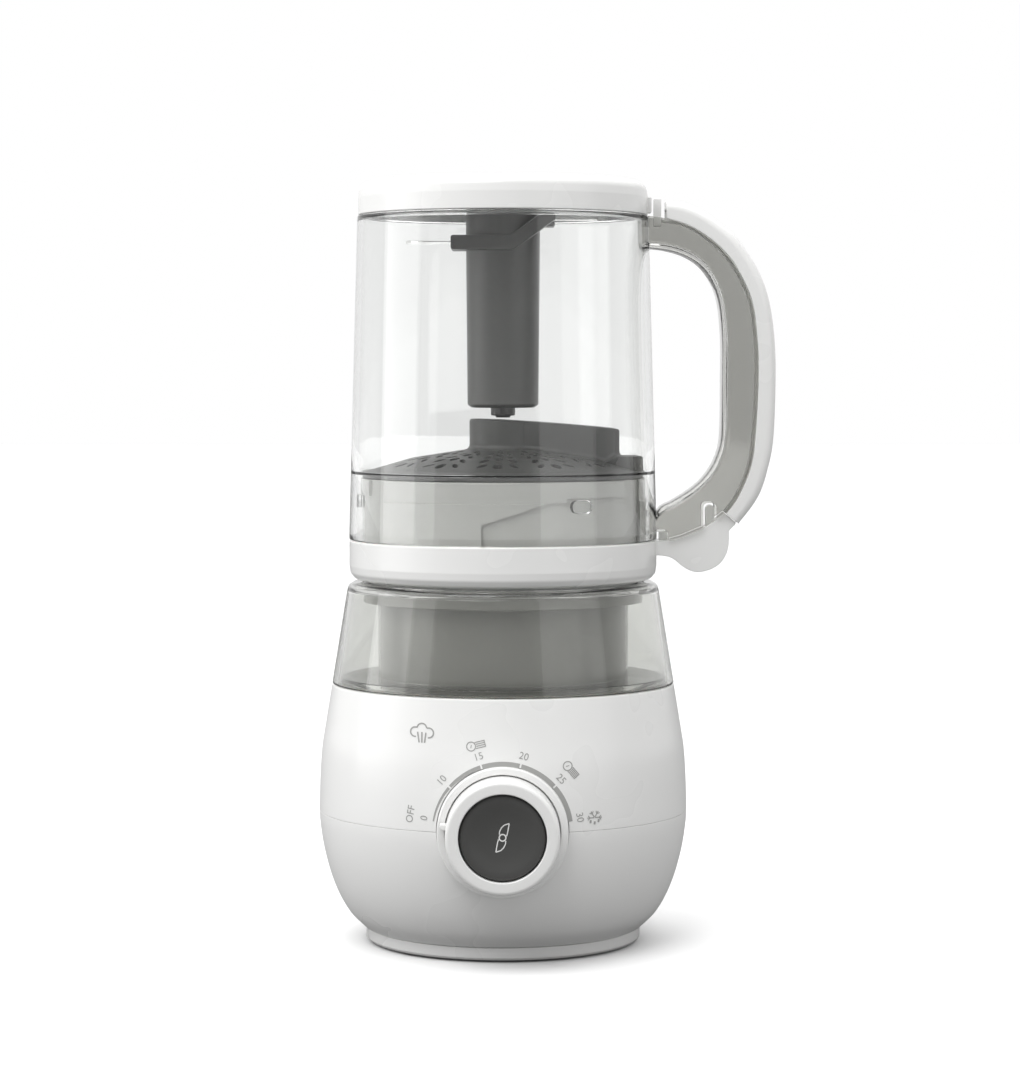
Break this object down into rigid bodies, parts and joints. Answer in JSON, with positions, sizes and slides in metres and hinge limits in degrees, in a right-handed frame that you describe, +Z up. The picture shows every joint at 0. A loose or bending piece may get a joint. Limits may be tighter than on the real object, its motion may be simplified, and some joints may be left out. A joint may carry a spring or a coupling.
{
  "type": "baby food maker",
  "caption": "Steamer and blender for baby food: a clear lidded jar with a handle stands over a round white base with a water tank, timer knob and blend button.",
  "frame": {"origin": "on the body's vertical axis, in the plane the feet stand on", "axes": "+Z up, +X towards the handle, -Y towards the timer knob at the front"},
  "size_m": [0.189, 0.1695, 0.315],
  "materials": {
    "body_white": "satin white moulded plastic",
    "tank_smoky": "clear plastic with a smoky grey tint",
    "lid_white": "satin white moulded plastic",
    "jar_clear": "clear colourless plastic",
    "grip_smoky": "clear plastic with a smoky grey tint",
    "handle_white": "satin white moulded plastic",
    "knob_white": "satin white moulded plastic",
    "button_dark": "dark grey plastic, fine satin",
    "blade_dark": "dark grey plastic, satin",
    "sieve_dark": "dark grey plastic, satin",
    "blade_steel": "ground stainless steel",
    "seal_silicone": "translucent silicone",
    "foot_rubber": "matt rubber",
    "screw_steel": "plated steel",
    "pot_aluminium": "cast aluminium",
    "winding_copper": "varnished copper windings",
    "board_green": "circuit board",
    "inner_grey": "grey moulded plastic",
    "inner_dark": "black moulded plastic"
  },
  "bodies": {
    "main_unit": {"base_plate": "body_white", "foot_1": "foot_rubber", "foot_2": "foot_rubber", "foot_3": "foot_rubber", "foot_4": "foot_rubber", "base_screw_1": "screw_steel", "base_screw_2": "screw_steel", "base_screw_3": "screw_steel", "base_screw_4": "screw_steel", "lower_housing": "body_white", "upper_housing": "body_white", "tank_shell": "tank_smoky", "tank_floor": "tank_smoky", "tank_seal": "seal_silicone", "drive_well": "body_white", "filler_pin": "screw_steel", "steam_nozzle": "inner_grey", "nozzle_seal": "seal_silicone", "steam_pipe": "seal_silicone", "boiler": "pot_aluminium", "heating_element": "screw_steel", "thermostat": "inner_dark", "feed_hose": "seal_silicone", "motor_can": "screw_steel", "motor_stator": "inner_grey", "motor_end_cap": "inner_grey", "motor_bracket": "inner_grey", "control_board": "board_green", "timer_switch": "inner_grey", "blend_switch": "inner_dark", "interlock_switch": "inner_dark", "cord_gland": "foot_rubber", "knob_bezel": "knob_white"},
    "drive": {"drive_shaft": "blade_steel", "armature": "winding_copper", "cooling_fan": "inner_dark", "drive_coupling": "blade_dark"},
    "knob": {"timer_knob": "knob_white"},
    "button": {"blend_button": "button_dark", "button_spring": "screw_steel"},
    "filler": {"filler_flap": "tank_smoky"},
    "lid": {"jar_lid": "lid_white", "lid_seal": "seal_silicone", "steam_inlet": "inner_grey", "sieve": "sieve_dark"},
    "jar": {"jar": "jar_clear", "jar_cap": "handle_white", "cap_seal": "seal_silicone", "handle_grip": "grip_smoky", "handle_cover": "handle_white", "shaft_seal": "seal_silicone"},
    "rod": {"push_rod": "inner_grey", "interlock_pin": "handle_white"},
    "blades": {"blade_column": "blade_dark", "lower_blade": "blade_steel", "upper_blade": "blade_steel", "column_tip": "blade_dark", "blade_shaft": "blade_steel", "driven_coupling": "blade_dark"}
  },
  "joints": [
    {"name": "jar_lift", "type": "slide", "parent": "main_unit", "child": "lid", "axis": [0, 0, 1], "range_m": [0, 0.1]},
    {"name": "lid_twist", "type": "hinge", "parent": "lid", "child": "jar", "pos_m": [0, 0, 0.167], "axis": [0, 0, 1], "range_deg": [0, 30]},
    {"name": "rod_slide", "type": "slide", "parent": "jar", "child": "rod", "axis": [0, 0, -1], "range_m": [0, 0.0025]},
    {"name": "blade_spin", "type": "hinge", "parent": "jar", "child": "blades", "pos_m": [0, 0, 0.304], "axis": [0, 0, 1], "continuous": true},
    {"name": "drive_spin", "type": "hinge", "parent": "main_unit", "child": "drive", "pos_m": [0, 0, 0.06], "axis": [0, 0, 1], "continuous": true},
    {"name": "timer_turn", "type": "hinge", "parent": "main_unit", "child": "knob", "pos_m": [0, -0.078, 0.0555], "axis": [0, 1, 0], "range_deg": [0, 164]},
    {"name": "blend_press", "type": "slide", "parent": "main_unit", "child": "button", "axis": [0, 1, 0], "range_m": [0, 0.0025], "stiffness_N_per_m": 400, "deforming": ["button_spring"]},
    {"name": "filler_open", "type": "hinge", "parent": "main_unit", "child": "filler", "pos_m": [0, 0.0681, 0.1316], "axis": [-1, 0, 0], "range_deg": [0, 75]}
  ],
  "couplings": [
    {"joint": "rod_slide", "follows": "lid_twist", "m_per_rad": 0.0047}
  ]
}
